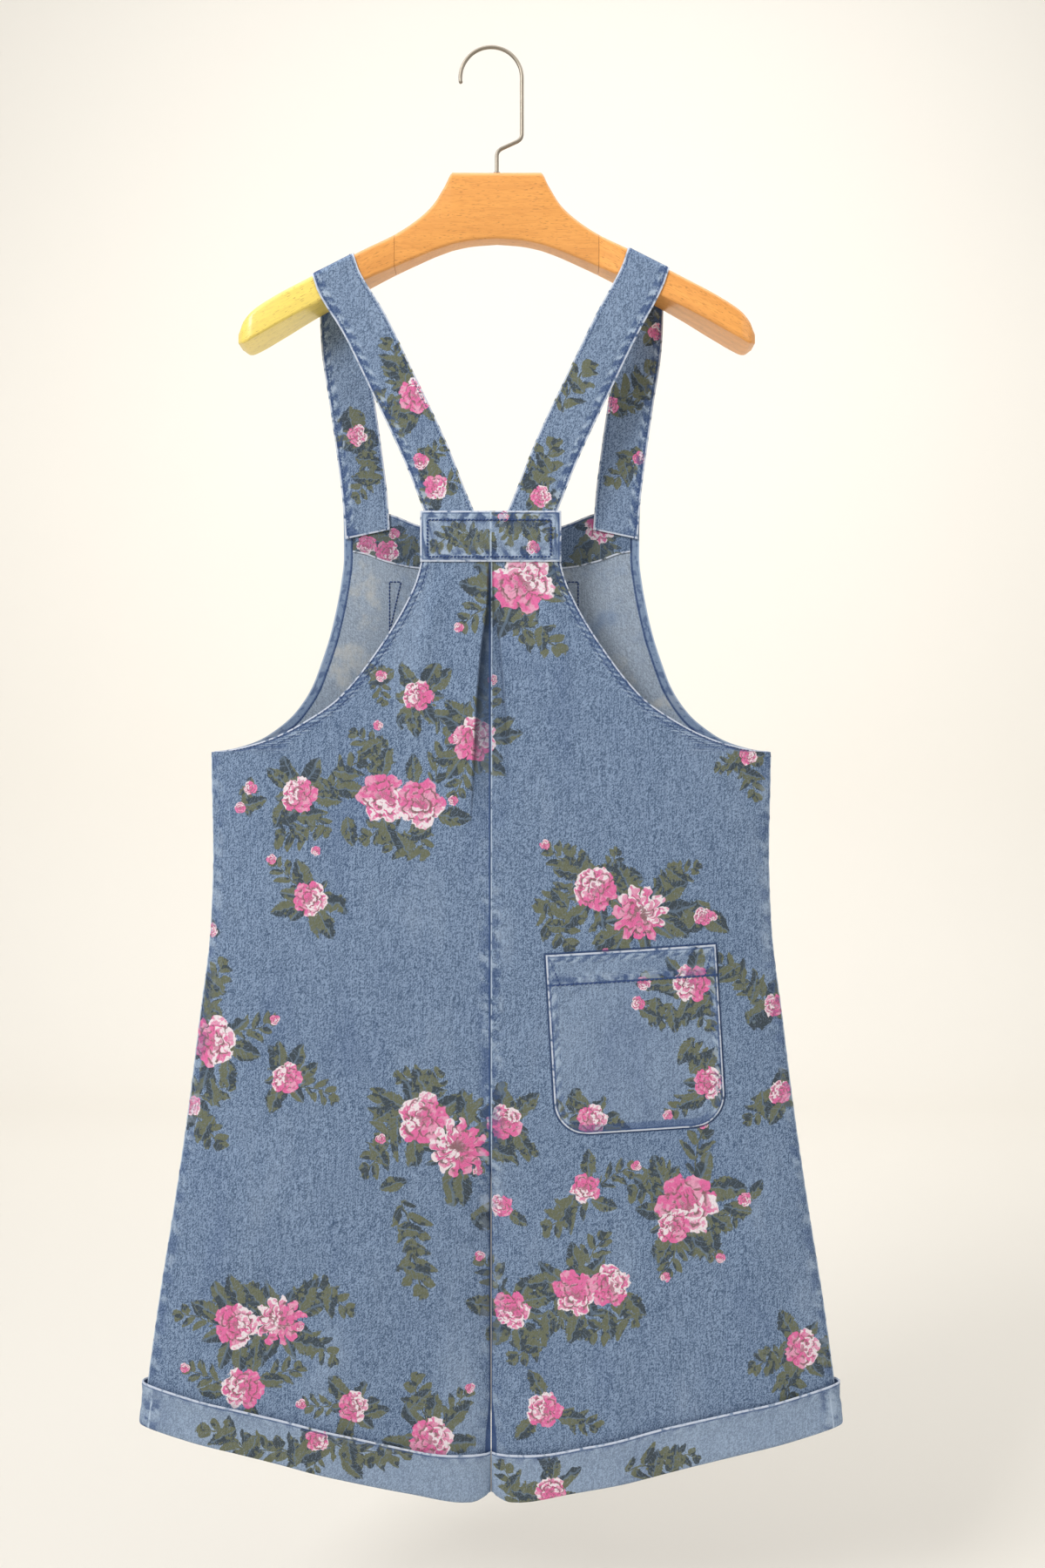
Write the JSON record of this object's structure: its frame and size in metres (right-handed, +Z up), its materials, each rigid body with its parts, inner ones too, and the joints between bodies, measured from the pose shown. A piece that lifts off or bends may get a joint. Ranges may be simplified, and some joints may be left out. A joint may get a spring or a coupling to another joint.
{
  "type": "denim shortalls on a wooden hanger",
  "caption": "Wide-leg denim shortalls with a flower print, a pleated back, a patch pocket and turned-up cuffs, hanging by their straps on a wooden hanger.",
  "frame": {"origin": "the top of the hollow of the hanger's hook, where a rail carries it", "axes": "+Z up; -Y out of the garment's back, which faces the viewer; +X to the viewer's right, which is the wearer's right"},
  "size_m": [0.6122, 0.047, 1.2615],
  "materials": {
    "denim": "washed mid-blue denim printed with pink roses and olive leaves, pale along its seams",
    "stitching": "dark blue sewing thread",
    "beech": "satin varnished beech with short dark flecks",
    "steel": "plain bright wire"
  },
  "bodies": {
    "root": {"back_left": "denim", "back_right": "denim", "front_left": "denim", "front_right": "denim", "back_tab": "denim", "strap_left": "denim", "strap_right": "denim", "bib_facing": "denim", "back_pocket": "denim", "bib_pocket": "denim", "cuff_left": "denim", "cuff_right": "denim", "hanger_block": "beech", "hanger_arm_left": "beech", "hanger_arm_right": "beech", "hanger_hook": "steel", "hook_collar": "steel"}
  },
  "joints": []
}
